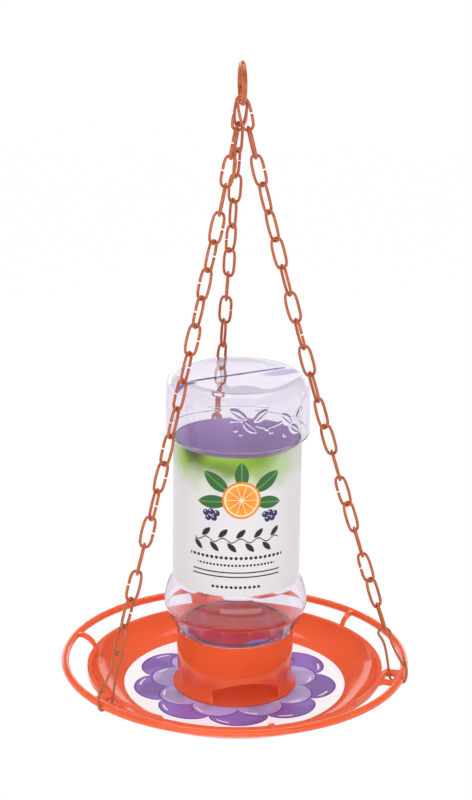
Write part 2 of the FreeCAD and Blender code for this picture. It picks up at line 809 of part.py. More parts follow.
def make_clip(name, anchor, line):
    """Spring wire clip in the anchor's upright plane: loop through the last link, hook under the tab."""
    wire = size("clip_wire").value / 2
    play = size("clip_play").value
    tube = size("perch_wire").value / 2
    ring = Vector(perch_radius.value, 0, perch_height.value)
    wrap = tube + wire + play
    spread = size("clip_spread").value
    tip = [ring + Vector(spread - 3.5, 0, size("clip_tip").value), ring + Vector(spread, 0, tube * 2 + 1.5)]
    round_ring = bend(ring, wrap, 0, -90, 3) + [ring + Vector(-3.2, 0, -wrap)]

    hole = hole_radius.value - size("hole_width").value / 2 + wire + play
    heel = Vector(hole + 0.8, 0, tab_top.value - size("tab_wall").value - (wire + play) * 1.15)
    held = line.point(line.link_end() - play * 2.5 - wire * 1.15)
    loop_radius = size("clip_loop").value
    loop = Vector(math.hypot(held.x, held.y), 0, held.z - loop_radius)
    half_neck = Vector(size("clip_neck").value / 2, 0, 0)
    waist = loop + Vector(2.2, 0, -loop_radius - 1.0)
    inner_leg = [heel, Vector(hole + 0.8, 0, ring.z + tube), waist - half_neck]
    round_loop = bend(loop, loop_radius, 215, -35, 8)
    outer_leg = [waist + half_neck, ring + Vector(spread - 2.8, 0, tube * 2 + 3.6)]
    points = tip + round_ring + inner_leg + round_loop + outer_leg
    solid = bent_wire(points, Vector(0, 1, 0), wire)
    clip = doc.addObject("Part::Feature", name + "_wire")
    clip.Label = name
    clip.Shape = solid
    clip.Placement = Placement(Vector(), Rotation(Vector(0, 0, 1), anchor))
    return clip


parts = [make_tray(), make_card(), make_base(), make_jar(), make_label(), make_hanging_ring()]
for side, anchor, shift, step, links in (
        ("right", right_anchor, 2.0, -1.2, RIGHT_LINKS),
        ("left", left_anchor, -0.7, 0, LEFT_LINKS),
        ("back", back_anchor, 0.0, 1.35, BACK_LINKS)):
    place_in_hole = anchor.value + shift
    line = ChainLine(place_in_hole, step)
    parts.append(make_chain(side + "_chain", line, links))
    parts.append(make_clip(side + "_clip", place_in_hole, line))
doc.recompute()

for feature in doc.Objects:
    if "Invalid" in feature.State or "Error" in feature.State:
        raise RuntimeError(feature.Name + " failed")
os.makedirs("parts", exist_ok=True)
for part in parts:
    if part.Shape.isNull() or not part.Shape.isValid():
        raise RuntimeError(part.Label + " has no valid shape")
    part.Shape.exportStep("parts/%s.step" % part.Label)
    print("%-16s %8.2f cm3" % (part.Label, part.Shape.Volume / 1000))
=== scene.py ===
"""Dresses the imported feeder: moulded plastic, blown jar, printed film and card, painted wire."""

import math

import bmesh
import bpy
from bpy.props import FloatProperty, FloatVectorProperty, IntProperty, PointerProperty
from mathutils import Matrix, Vector


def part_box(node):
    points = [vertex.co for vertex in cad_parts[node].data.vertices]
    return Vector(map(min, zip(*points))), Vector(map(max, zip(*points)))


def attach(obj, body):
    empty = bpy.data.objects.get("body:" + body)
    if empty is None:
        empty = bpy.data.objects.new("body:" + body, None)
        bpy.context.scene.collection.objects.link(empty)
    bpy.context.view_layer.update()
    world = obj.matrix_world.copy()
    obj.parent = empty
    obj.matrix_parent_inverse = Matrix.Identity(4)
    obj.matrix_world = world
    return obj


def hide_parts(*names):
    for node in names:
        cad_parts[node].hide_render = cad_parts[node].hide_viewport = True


bl_info = {
    "name": "Oriole Feeder",
    "version": (1, 0, 0),
    "blender": (4, 5, 0),
    "location": "3D View > Sidebar > Feeder",
    "description": "Finishes the parts of a hanging bird feeder",
    "category": "Object",
}

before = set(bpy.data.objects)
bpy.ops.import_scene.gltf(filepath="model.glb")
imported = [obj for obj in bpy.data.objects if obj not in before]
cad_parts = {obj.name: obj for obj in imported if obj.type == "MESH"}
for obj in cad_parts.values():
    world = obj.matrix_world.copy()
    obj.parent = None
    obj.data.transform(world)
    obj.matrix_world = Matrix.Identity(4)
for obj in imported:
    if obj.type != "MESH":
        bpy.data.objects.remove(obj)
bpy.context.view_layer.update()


# Print and relief

# A leaf is across, up, turn, length and width, and a berry is across and up. On the label they run from
# the middle of its front and from its lower edge.
LABEL_LEAVES = (
    (-0.0135, 0.0775, 2.5, 0.021, 0.0095),
    (-0.0155, 0.064, 3.25, 0.022, 0.009),
    (0.0195, 0.0775, 0.62, 0.021, 0.0095),
    (0.0205, 0.0635, -0.1, 0.019, 0.0085),
    (0.003, 0.0825, 1.6, 0.018, 0.009),
)
LABEL_BERRIES = (
    (-0.013, 0.0565), (-0.0168, 0.0572), (-0.0205, 0.0562), (-0.0148, 0.0532), (-0.0188, 0.053),
    (0.0185, 0.0555), (0.0222, 0.0562), (0.0258, 0.055), (0.0204, 0.0522), (0.024, 0.0524),
)
BERRY_RADIUS = 0.0021
SLICE_MIDDLE, SLICE_RADIUS, SLICE_SEGMENTS = (0.003, 0.066), 0.0125, 10

# Height, pitch, dot's radius and half the row's length
DOT_ROWS = (
    (0.0265, 0.0032, 0.0011, 0.032),
    (0.0215, 0.0024, 0.0008, 0.0262),
    (0.0064, 0.003, 0.001, 0.0165),
)

# Height and half the rule's length
RULES = ((0.0165, 0.03), (0.0135, 0.03))
RULE_HALF_WIDTH = 0.00045

VINE_HALF_LENGTH, VINE_HEIGHT = 0.0285, 0.0385
VINE_PITCH, VINE_WAVE = 0.0115, 0.0014

# On the jar's head, across is along the wall from the sprig's start and up is from the tray's foot
SPRIG_LEAVES = (
    (0.009, 0.2095, 2.6, 0.013, 0.006),
    (0.0165, 0.2015, -0.7, 0.013, 0.006),
    (0.0235, 0.2085, 0.7, 0.012, 0.0055),
    (0.042, 0.2035, 2.4, 0.013, 0.006),
    (0.049, 0.1955, -0.6, 0.012, 0.0055),
    (0.0545, 0.2045, 0.9, 0.013, 0.006),
)
SPRIG_BERRIES = (
    (0.0075, 0.2), (0.0105, 0.1975), (0.0275, 0.2), (0.0305, 0.1975), (0.041, 0.1935), (0.0585, 0.1955),
)
SPRIG_BERRY_RADIUS = 0.0017
SPRIG_LEAF_SLOPE, SPRIG_VEIN_WIDTH, SPRIG_STEM_HALF = 0.0008, 0.0012, 0.0006
SPRIG_STEM_START, SPRIG_STEM_END = 0.004, 0.058

# Thick ends of the seam: along it, aside of it and down from the jar's top, half sizes, depth of colour
SEAM_ENDS = (
    ((-0.0395, -0.003, 0.0019), (0.0105, 0.0034, 0.006), 0.95),
    ((0.0275, -0.0078, 0.0), (0.017, 0.0068, 0.005), 0.72),
)
SEAM_TAPER = 0.003

PETAL_RING_STEP = 0.0115
PETAL_OUTLINE = (0.0013, 0.0017)
PETAL_GLINT_DEPTH, PETAL_GLINT_HALF = 0.0042, 0.0006


# Settings

def colour(name, description, default):
    return FloatVectorProperty(name=name, description=description, subtype="COLOR", size=3,
                               min=0.0, max=1.0, default=default)


class FeederPlastic(bpy.types.PropertyGroup):
    """Colours of the moulded and blown plastic, and the relief on the jar."""
    orange: colour("Orange", "Dish, perch ring and feeding base", (0.81, 0.125, 0.037))
    orange_deep: colour("Deep orange", "Thicker or shaded patches of the orange plastic",
                        (0.75, 0.098, 0.027))
    thin_wall: colour("Thin wall", "Share of the lamps' light that a face of the feeding base lets in",
                      (0.97, 0.5, 0.42))
    jar_tint: colour("Jar tint", "Lilac cast of the clear jar", (0.93, 0.9, 0.965))
    jar_edge: colour("Jar edge", "Deeper lilac where the jar's wall is seen edge on", (0.72, 0.64, 0.88))
    seam: colour("Seam", "Thick clear plastic at the ends of the jar's seam", (0.3, 0.17, 0.58))
    seam_line: colour("Seam line", "Thin raised line of the seam", (0.3, 0.22, 0.42))
    seam_turn: FloatProperty(name="Seam turn", description="Direction of the pinch seam on the jar's top",
                             subtype="ANGLE", default=math.radians(14.4))
    seam_length: FloatProperty(name="Seam length", description="Length of the pinch seam", unit="LENGTH",
                               default=0.068)
    seam_width: FloatProperty(name="Seam width", description="Width of the pinch seam", unit="LENGTH",
                              default=0.0009)
    seam_height: FloatProperty(name="Seam height", description="Height of the pinch seam", unit="LENGTH",
                               default=0.0006)
    sprig_turn: FloatProperty(name="Sprig turn", description="Where the moulded sprig starts round the jar",
                              subtype="ANGLE", default=math.radians(-114.0))
    sprig_height: FloatProperty(name="Sprig height", description="How far the sprig stands out",
                                unit="LENGTH", default=0.0006)


class FeederPrint(bpy.types.PropertyGroup):
    """Colours and sizes of the printed label and card."""
    paper: colour("Film white", "Unprinted film of the label", (0.72, 0.71, 0.73))
    card: colour("Card white", "Unprinted card", (0.97, 1.0, 1.0))
    film_back: colour("Film back", "Inner side of the label", (0.86, 0.6, 1.0))
    thin_film: colour("Thin film", "Share of the lamps' light that a face of the label lets in",
                      (0.6, 0.54, 0.7))
    leaf: colour("Leaf green", "Leaves on the label", (0.035, 0.13, 0.03))
    meadow: colour("Meadow green", "Soft green at the top of the label", (0.3, 0.5, 0.05))
    fruit: colour("Fruit orange", "Orange slice on the label", (0.86, 0.22, 0.02))
    flesh: colour("Flesh", "Orange slice near its peel", (0.93, 0.36, 0.03))
    pith: colour("Pith", "Pale lines in the orange slice", (0.88, 0.72, 0.42))
    berry: colour("Berry", "Berries on the label", (0.03, 0.02, 0.1))
    rule: colour("Rule", "Thin lines on the label", (0.012, 0.012, 0.014))
    outline: colour("Outline", "Outline of the card's petals", (0.125, 0.045, 0.34))
    petal: colour("Petal", "Outer petals on the card", (0.28, 0.15, 0.54))
    petal_light: colour("Light petal", "Inner petals on the card", (0.5, 0.42, 0.78))
    glint: colour("Glint", "Short glints on the card's petals", (0.9, 0.9, 0.92))
    petal_count: IntProperty(name="Petals", description="Petals in each ring on the card",
                             min=3, max=24, default=9)
    petal_reach: FloatProperty(name="Petal reach", description="Tips of the outer petals, from the middle",
                               unit="LENGTH", default=0.068)
    petal_depth: FloatProperty(name="Petal depth", description="How far the notches between petals go in",
                               unit="LENGTH", default=0.013)


class FeederWire(bpy.types.PropertyGroup):
    """Colours of the painted wire."""
    chain: colour("Chain", "Paint on the links and the hanging ring", (0.5, 0.104, 0.024))
    clip: colour("Clip", "Thinner paint on the spring clips", (0.47, 0.115, 0.022))
    rounding: IntProperty(name="Rounding", description="Subdivision of links and clips",
                          min=0, max=3, default=2)


class FeederStage(bpy.types.PropertyGroup):
    """Camera, floor and light."""
    view_turn: FloatProperty(name="View turn", description="Camera's direction, from -Y towards -X",
                             subtype="ANGLE", default=math.radians(13.0))
    view_height: FloatProperty(name="View height", description="How far the camera looks down",
                               subtype="ANGLE", default=math.radians(18.41))
    view_roll: FloatProperty(name="View roll", description="Turn of the camera about its own axis",
                             subtype="ANGLE", default=math.radians(0.75))
    view_distance: FloatProperty(name="View distance", description="Camera to target",
                                 unit="LENGTH", default=1.5)
    target_side: FloatProperty(name="Target side", description="Target's place to the right of the middle",
                               unit="LENGTH", default=-0.0014)
    target_height: FloatProperty(name="Target height", description="Height that the camera looks at",
                                 unit="LENGTH", default=0.2041)
    lens: FloatProperty(name="Lens", description="Focal length in millimetres", default=105.23)
    floor_drop: FloatProperty(name="Floor drop", description="Floor below the hanging feeder",
                              unit="LENGTH", default=0.2)
    floor_shade: FloatProperty(name="Floor shade", description="Share of light and shadow seen on the floor",
                               subtype="FACTOR", min=0.0, max=1.0, default=0.05)
    sky: FloatProperty(name="Sky", description="Strength of the even light from all sides", default=0.74)
    ceiling: FloatProperty(name="Ceiling", description="Brightness overhead, in reflections",
                           default=0.2)
    glass_ceiling: FloatProperty(name="Glass ceiling", description="Least brightness seen through the jar",
                                 default=0.25)
    front: FloatProperty(name="Front", description="Brightness behind the camera, in reflections",
                         default=0.2)
    key: FloatProperty(name="Key", description="Power of the large lamp at the left",
                       subtype="POWER", default=5.0)
    fill: FloatProperty(name="Fill", description="Power of the lamp at the right",
                        subtype="POWER", default=0.8)
    low: FloatProperty(name="Low", description="Power of the wide lamp in front",
                       subtype="POWER", default=7.5)
    back: FloatProperty(name="Back", description="Power of the wide low lamp far behind",
                        subtype="POWER", default=48.0)
    top: FloatProperty(name="Top", description="Power of the lamp above",
                       subtype="POWER", default=12.5)


# Meshes

def copy_of_node(node):
    """A bmesh of a CAD node's mesh with its loose triangles joined."""
    bm = bmesh.new()
    bm.from_mesh(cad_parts[node].data)
    bmesh.ops.remove_doubles(bm, verts=bm.verts, dist=2e-6)
    return bm


def add_piece(name, bm, body, materials, replaces, crease=math.radians(32)):
    """Turns a bmesh into a smooth-shaded piece whose edges sharper than crease stay crisp."""
    bm.normal_update()
    for face in bm.faces:
        face.smooth = True
    for edge in bm.edges:
        edge.smooth = len(edge.link_faces) == 2 and edge.calc_face_angle(0.0) < crease
    mesh = bpy.data.meshes.new(name)
    bm.to_mesh(mesh)
    bm.free()
    piece = bpy.data.objects.new(name, mesh)
    bpy.context.scene.collection.objects.link(piece)
    for material in materials:
        mesh.materials.append(material)
    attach(piece, body)
    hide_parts(*replaces)
    return piece


def leaf_circles(across, up, turn, length, width):
    """Middles and radius of the two circles whose overlap is a pointed leaf about (across, up)."""
    radius = (length ** 2 + width ** 2) / (4 * width)
    aside = radius - width / 2
    side = Vector((-math.sin(turn), math.cos(turn), 0.0)) * aside
    middle = Vector((across, up, 0.0))
    return middle + side, middle - side, radius


def round_wire(bm):
    """Joins the triangles of few-sided wire and holds its cut ends, so that subdivision rounds it evenly."""
    bmesh.ops.join_triangles(bm, faces=bm.faces, angle_face_threshold=math.radians(2.0),
                             angle_shape_threshold=math.radians(180.0))
    bm.normal_update()
    crease = bm.edges.layers.float.new("crease_edge")
    for edge in bm.edges:
        if len(edge.link_faces) == 2 and abs(edge.calc_face_angle(0.0) - math.pi / 2) < math.radians(8.0):
            edge[crease] = 0.9
    return bm


def subdivide(piece, levels):
    """Rounds a piece, as much in the view as in a render."""
    modifier = piece.modifiers.new("Round", "SUBSURF")
    modifier.levels = levels
    modifier.render_levels = levels


def weigh_normals(piece):
    """Keeps the shading of flat faces even beside their rounded edges."""
    modifier = piece.modifiers.new("Even shading", "WEIGHTED_NORMAL")
    modifier.keep_sharp = True


# Materials

def shade(channels, factor):
    """A colour made darker, or lighter where factor is over one."""
    return tuple(min(1.0, factor * channel) for channel in channels)


class Nodes:
    """Short names for building the node tree of a new material, or of a given world."""

    def __init__(self, name, world=None):
        self.material = world or bpy.data.materials.new(name)
        self.material.use_nodes = True
        self.tree = self.material.node_tree
        self.tree.nodes.clear()
        self.output = self.add("ShaderNodeOutputWorld" if world else "ShaderNodeOutputMaterial")

    def add(self, kind, **settings):
        node = self.tree.nodes.new(kind)
        for key, value in settings.items():
            setattr(node, key, value)
        return node

    def link(self, source, target):
        self.tree.links.new(source, target)

    def feed(self, socket, value):
        """Links a socket, or sets a plain number or colour on it."""
        if isinstance(value, bpy.types.NodeSocket):
            self.link(value, socket)
        elif hasattr(value, "__len__") and len(value) == 3 and len(socket.default_value) == 4:
            socket.default_value = (*value, 1.0)
        else:
            socket.default_value = value

    def math(self, operation, *values):
        node = self.add("ShaderNodeMath", operation=operation)
        for number, value in enumerate(values):
            self.feed(node.inputs[number], value)
        return node.outputs[0]

    def mix(self, share, first, second):
        node = self.add("ShaderNodeMix", data_type="RGBA")
        self.feed(node.inputs[0], share)
        self.feed(node.inputs[6], first)
        self.feed(node.inputs[7], second)
        return node.outputs[2]

    def spread(self, value, low, high, first=0.0, second=1.0):
        """Value taken from low..high to first..second with soft ends."""
        node = self.add("ShaderNodeMapRange", interpolation_type="SMOOTHSTEP")
        for number, given in enumerate((value, low, high, first, second)):
            self.feed(node.inputs[number], given)
        return node.outputs[0]

    def place(self):
        return self.add("ShaderNodeTexCoord").outputs["Object"]

    def noise(self, scale, detail=2.0, place=None):
        node = self.add("ShaderNodeTexNoise")
        self.link(place or self.place(), node.inputs["Vector"])
        node.inputs["Scale"].default_value = scale
        node.inputs["Detail"].default_value = detail
        return node.outputs["Fac"]

    def bump(self, height, distance, strength=1.0):
        node = self.add("ShaderNodeBump")
        self.link(height, node.inputs["Height"])
        node.inputs["Distance"].default_value = distance
        node.inputs["Strength"].default_value = strength
        return node.outputs["Normal"]

    def flat(self, across, up):
        """Place on a flat print, from two lengths."""
        node = self.add("ShaderNodeCombineXYZ")
        self.feed(node.inputs[0], across)
        self.feed(node.inputs[1], up)
        return node.outputs[0]

    def distance(self, place, middle):
        node = self.add("ShaderNodeVectorMath", operation="DISTANCE")
        self.link(place, node.inputs[0])
        node.inputs[1].default_value = middle
        return node.outputs["Value"]

    def within(self, value, limit, soft=0.00015):
        """One where value is under limit, with a narrow soft edge."""
        return self.spread(value, limit - soft, limit + soft, 1.0, 0.0)

    def disc(self, place, middle, radius):
        return self.within(self.distance(place, (*middle, 0.0)), radius)

    def leaf(self, place, across, up, turn, length, width):
        """Mask of a pointed leaf and of its middle vein."""
        first, second, radius = leaf_circles(across, up, turn, length, width)
        to_first, to_second = self.distance(place, first), self.distance(place, second)
        reach = self.math("MAXIMUM", to_first, to_second)
        apart = self.math("SUBTRACT", to_first, to_second)
        vein = self.within(self.math("ABSOLUTE", apart), 0.0007, 0.0003)
        return self.within(reach, radius), vein

    def surface(self, **inputs):
        """Principled shader with the given inputs, joined to the output."""
        shader = self.add("ShaderNodeBsdfPrincipled")
        for name, value in inputs.items():
            self.feed(shader.inputs[name.replace("_", " ")], value)
        self.link(shader.outputs[0], self.output.inputs["Surface"])
        return shader

    def let_lamps_through(self, shader, tint):
        """Makes the shader a plain tinted pane to the rays from the lamps."""
        pane = self.add("ShaderNodeBsdfTransparent")
        self.feed(pane.inputs["Color"], tint)
        rays = self.add("ShaderNodeLightPath")
        mixed = self.add("ShaderNodeMixShader")
        self.link(rays.outputs["Is Shadow Ray"], mixed.inputs[0])
        self.link(shader.outputs[0], mixed.inputs[1])
        self.link(pane.outputs[0], mixed.inputs[2])
        self.link(mixed.outputs[0], self.output.inputs["Surface"])


def orange_plastic(name, thin_wall=None):
    """Glossy injection-moulded plastic with faint flow patches, that may let some lamp light through."""
    colours = bpy.context.scene.feeder_plastic
    nodes = Nodes(name)
    patches = nodes.spread(nodes.noise(22.0), 0.35, 0.75)
    grain = nodes.noise(900.0, 1.0)
    shader = nodes.surface(
        Base_Color=nodes.mix(patches, colours.orange, colours.orange_deep),
        Roughness=nodes.spread(nodes.noise(60.0), 0.3, 0.7, 0.1, 0.15),
        Specular_IOR_Level=0.5,
        Subsurface_Weight=0.3,
        Subsurface_Radius=(1.0, 0.3, 0.14),
        Subsurface_Scale=0.005,
        Normal=nodes.bump(grain, 0.00002, 0.25),
    )
    if thin_wall:
        nodes.let_lamps_through(shader, thin_wall)
    return nodes.material


def wire_paint(name, paint, roughness):
    """Paint on drawn wire, worn thin here and there."""
    nodes = Nodes(name)
    worn = nodes.spread(nodes.noise(340.0, 3.0), 0.62, 0.74)
    nodes.surface(
        Base_Color=nodes.mix(worn, paint, shade(paint, 0.45)),
        Metallic=0.25,
        Roughness=roughness,
        Coat_Weight=0.4,
        Coat_Roughness=0.15,
        Normal=nodes.bump(nodes.noise(700.0, 2.0), 0.00004, 0.4),
    )
    return nodes.material


def clear_plastic():
    """Blown clear plastic with a lilac cast, wavy walls and violet seam ends, which lets lamp light in."""
    colours = bpy.context.scene.feeder_plastic
    nodes = Nodes("clear_plastic")
    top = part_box("jar")[1].z
    along = nodes.add("ShaderNodeMapping")
    nodes.link(nodes.place(), along.inputs["Vector"])
    along.inputs["Rotation"].default_value = (0.0, 0.0, -colours.seam_turn)
    facing = nodes.add("ShaderNodeLayerWeight").outputs["Facing"]
    tint = nodes.mix(nodes.spread(facing, 0.55, 0.95), colours.jar_tint, colours.jar_edge)
    for (along_seam, aside, down), size, depth in SEAM_ENDS:
        middle = (along_seam, aside, top - down)
        placed = nodes.add("ShaderNodeMapping")
        nodes.link(along.outputs[0], placed.inputs["Vector"])
        placed.inputs["Location"].default_value = [-at / half for at, half in zip(middle, size)]
        placed.inputs["Scale"].default_value = [1 / half for half in size]
        near = nodes.spread(nodes.distance(placed.outputs[0], (0.0, 0.0, 0.0)), 0.55, 1.0, depth, 0.0)
        tint = nodes.mix(near, tint, colours.seam)
    axes = nodes.add("ShaderNodeSeparateXYZ")
    nodes.link(along.outputs[0], axes.inputs[0])
    narrow = nodes.within(nodes.math("ABSOLUTE", axes.outputs[1]), colours.seam_width / 3, 0.0001)
    short = nodes.within(nodes.math("ABSOLUTE", axes.outputs[0]), colours.seam_length / 2)
    high_up = nodes.spread(axes.outputs[2], top - 0.0022, top - 0.0018)
    line = nodes.math("MULTIPLY", nodes.math("MULTIPLY", narrow, short), high_up)
    tint = nodes.mix(line, tint, colours.seam_line)
    shader = nodes.surface(
        Base_Color=tint,
        Transmission_Weight=0.982,
        Roughness=0.015,
        IOR=1.46,
        Normal=nodes.bump(nodes.noise(24.0, 1.5), 0.0012, 0.35),
    )
    nodes.let_lamps_through(shader, colours.jar_tint)
    return nodes.material


def film_back():
    """Inner side of the label, lilac as seen through the jar, with faint upright bands."""
    colours = bpy.context.scene.feeder_print
    nodes = Nodes("film_back")
    axes = nodes.add("ShaderNodeSeparateXYZ")
    nodes.link(nodes.place(), axes.inputs[0])
    bands = nodes.noise(40.0, 1.0, nodes.flat(axes.outputs[0], axes.outputs[1]))
    lilac = nodes.mix(nodes.spread(bands, 0.4, 0.6), shade(colours.film_back, 0.86), colours.film_back)
    shader = nodes.surface(Base_Color=lilac, Roughness=0.35)
    nodes.let_lamps_through(shader, colours.thin_film)
    return nodes.material


def label_film():
    """White film: soft green top, orange slice with leaves and berries, vine over dots and rules."""
    colours = bpy.context.scene.feeder_print
    nodes = Nodes("label_film")
    low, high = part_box("jar_label")
    turned = nodes.add("ShaderNodeMapping")
    nodes.link(nodes.place(), turned.inputs["Vector"])
    turned.inputs["Rotation"].default_value = (0.0, 0.0, bpy.context.scene.feeder_stage.view_turn)
    axes = nodes.add("ShaderNodeSeparateXYZ")
    nodes.link(turned.outputs[0], axes.inputs[0])
    angle = nodes.math("ARCTAN2", axes.outputs[0], nodes.math("MULTIPLY", axes.outputs[1], -1.0))
    across = nodes.math("MULTIPLY", angle, high.x)
    up = nodes.math("SUBTRACT", axes.outputs[2], low.z)
    place = nodes.flat(across, up)
    ink = soft_meadow(nodes, place, across, up, high.z - low.z)
    ink = vine_border(nodes, ink, across, up)
    for leaf in LABEL_LEAVES:
        inside, vein = nodes.leaf(place, *leaf)
        ink = nodes.mix(inside, ink, nodes.mix(vein, colours.leaf, shade(colours.leaf, 2.6)))
    for berry in LABEL_BERRIES:
        glint = nodes.disc(place, (berry[0] - 0.0006, berry[1] + 0.0007), 0.0005)
        skin = nodes.mix(glint, colours.berry, colours.paper)
        ink = nodes.mix(nodes.disc(place, berry, BERRY_RADIUS), ink, skin)
    ink = orange_slice(nodes, ink, place, across, up)
    shader = nodes.surface(Base_Color=ink, Roughness=0.32, Specular_IOR_Level=0.4)
    nodes.let_lamps_through(shader, colours.thin_film)
    return nodes.material


def soft_meadow(nodes, place, across, up, height):
    """Blurred greens with one darker bush, which fade down and to both sides into the white."""
    colours = bpy.context.scene.feeder_print
    cloud = nodes.noise(55.0, 1.0, place)
    blur = nodes.noise(38.0, 0.0, place)
    fade = nodes.math("ADD", up, nodes.math("MULTIPLY", cloud, 0.024))
    sides = nodes.math("MINIMUM", nodes.spread(across, -0.062, -0.036, 0.4, 1.0),
                       nodes.spread(across, 0.012, 0.052, 1.0, 0.2))
    meadow = nodes.math("MULTIPLY", nodes.spread(fade, height - 0.014, height + 0.006), sides)
    bush = nodes.spread(nodes.distance(place, (-0.031, height + 0.002, 0.0)), 0.003, 0.015, 1.0, 0.0)
    green = nodes.mix(nodes.spread(blur, 0.36, 0.6), shade(colours.meadow, 0.55), colours.meadow)
    green = nodes.mix(bush, green, shade(colours.meadow, 0.22))
    return nodes.mix(meadow, colours.paper, green)


def vine_border(nodes, ink, across, up):
    """A waved stem with leaves on both sides, and rows of dots and thin rules under it."""
    colours = bpy.context.scene.feeder_print
    pitch, middle = VINE_PITCH, VINE_HEIGHT
    sine = nodes.math("SINE", nodes.math("MULTIPLY", across, math.tau / pitch))
    wave = nodes.math("MULTIPLY", sine, VINE_WAVE)
    above = nodes.math("SUBTRACT", nodes.math("SUBTRACT", up, middle), wave)
    marks = nodes.within(nodes.math("ABSOLUTE", above), 0.0004, 0.0001)
    repeated = nodes.flat(nodes.math("WRAP", across, pitch / 2, -pitch / 2), up)
    for side in (1, -1):
        place = (side * pitch / 4, middle + side * 0.0047)
        leaf = nodes.leaf(repeated, *place, side * 0.8, 0.0086, 0.0036)[0]
        marks = nodes.math("MAXIMUM", marks, leaf)
    marks = nodes.math("MULTIPLY", marks, nodes.within(nodes.math("ABSOLUTE", across), VINE_HALF_LENGTH))
    for height, dot_pitch, dot_radius, reach in DOT_ROWS:
        dotted = nodes.flat(nodes.math("WRAP", across, dot_pitch / 2, -dot_pitch / 2), up)
        row = nodes.math("MULTIPLY", nodes.disc(dotted, (0.0, height), dot_radius),
                         nodes.within(nodes.math("ABSOLUTE", across), reach))
        marks = nodes.math("MAXIMUM", marks, row)
    for height, reach in RULES:
        from_line = nodes.math("ABSOLUTE", nodes.math("SUBTRACT", up, height))
        rule = nodes.math("MULTIPLY", nodes.within(from_line, RULE_HALF_WIDTH, 0.0001),
                          nodes.within(nodes.math("ABSOLUTE", across), reach))
        marks = nodes.math("MAXIMUM", marks, rule)
    return nodes.mix(marks, ink, colours.rule)


def orange_slice(nodes, ink, place, across, up):
    """A cut orange: peel, pith and ten segments."""
    colours = bpy.context.scene.feeder_print
    middle, radius = SLICE_MIDDLE, SLICE_RADIUS
    reach = nodes.distance(place, (*middle, 0.0))
    turn = nodes.math("ARCTAN2", nodes.math("SUBTRACT", up, middle[1]),
                      nodes.math("SUBTRACT", across, middle[0]))
    spoke = nodes.math("ABSOLUTE", nodes.math("SINE", nodes.math("MULTIPLY", turn, SLICE_SEGMENTS / 2)))
    pith_line = nodes.within(nodes.math("MULTIPLY", spoke, reach), 0.0012, 0.0004)
    flesh = nodes.mix(nodes.spread(reach, 0.001, radius), colours.fruit, colours.flesh)
    pale = nodes.math("MAXIMUM", pith_line, nodes.disc(place, middle, 0.0012))
    flesh = nodes.mix(pale, flesh, colours.pith)
    cut = nodes.mix(nodes.within(reach, 0.8 * radius), colours.pith, flesh)
    cut = nodes.mix(nodes.within(reach, 0.89 * radius), colours.fruit, cut)
    return nodes.mix(nodes.within(reach, radius), ink, cut)


def card_print():
    """White card with two rings of outlined purple petals and white glints."""
    colours = bpy.context.scene.feeder_print
    nodes = Nodes("card_print")
    axes = nodes.add("ShaderNodeSeparateXYZ")
    nodes.link(nodes.place(), axes.inputs[0])
    x, y = axes.outputs[0], axes.outputs[1]
    squares = nodes.math("ADD", nodes.math("MULTIPLY", x, x), nodes.math("MULTIPLY", y, y))
    radius = nodes.math("SQRT", squares)
    angle = nodes.math("ARCTAN2", y, x)
    ink = colours.card
    outer, inner = colours.petal_reach, colours.petal_reach - PETAL_RING_STEP
    for reach, shift, fill in ((outer, 0.0, colours.petal), (inner, 0.5, colours.petal_light)):
        shifted = nodes.math("ADD", angle, math.tau * shift / colours.petal_count)
        turn = nodes.math("MULTIPLY", shifted, colours.petal_count / 2)
        lobe = nodes.math("SQRT", nodes.math("ABSOLUTE", nodes.math("SINE", turn)))
        bulge = nodes.math("MULTIPLY", lobe, colours.petal_depth)
        edge = nodes.math("ADD", bulge, reach - colours.petal_depth)
        depth = nodes.math("SUBTRACT", edge, radius)
        glow = nodes.mix(nodes.spread(nodes.noise(48.0, 1.0), 0.42, 0.62), fill, shade(fill, 0.72))
        from_arc = nodes.math("ABSOLUTE", nodes.math("SUBTRACT", depth, PETAL_GLINT_DEPTH))
        one_side = nodes.spread(nodes.math("SINE", nodes.math("ADD", turn, turn)), 0.78, 0.84)
        glint = nodes.math("MULTIPLY", nodes.within(from_arc, PETAL_GLINT_HALF), one_side)
        petal = nodes.mix(nodes.spread(depth, *PETAL_OUTLINE), colours.outline, glow)
        petal = nodes.mix(glint, petal, colours.glint)
        ink = nodes.mix(nodes.spread(depth, 0.0, 0.0003), ink, petal)
    nodes.surface(Base_Color=ink, Roughness=0.28)
    return nodes.material


# Pieces

GUSSET_ENDS = [math.radians(angle) for angle in (-129.0, -51.0, 69.0)]
GUSSET_END_SPAN = 0.002
RIM_HEIGHT, GUSSET_TOP, RIM_RADIUS = 0.0194, 0.0235, 0.0986

HEAD_WALL = 0.0462
HEAD_ROWS, TOP_ROWS = 56, 12
LABEL_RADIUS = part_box("jar_label")[1].x
SHOULDER_BEAD, BEAD_OUT = 0.1846, 0.0003
SPRIG_ARC = math.radians(86.0)
SPRIG_STEPS, PLAIN_STEPS = 172, 136
FLAT = 1e-5


class FEEDER_OT_tray(bpy.types.Operator):
    """Finish the dish with its perch ring, and let its gussets end level with the rim"""
    bl_idname = "feeder.tray"
    bl_label = "Tray"

    def execute(self, context):
        bm = copy_of_node("tray")
        for vert in bm.verts:
            turn = math.atan2(vert.co.y, vert.co.x)
            nearest = min(abs(turn - end) for end in GUSSET_ENDS)
            over_rim = RIM_HEIGHT < vert.co.z < GUSSET_TOP and vert.co.xy.length < RIM_RADIUS
            if nearest < GUSSET_END_SPAN and over_rim:
                vert.co.z = RIM_HEIGHT
        tray = add_piece("moulded_tray", bm, "feeder",
                         [orange_plastic("moulded_orange")], replaces=["tray"])
        weigh_normals(tray)
        return {"FINISHED"}


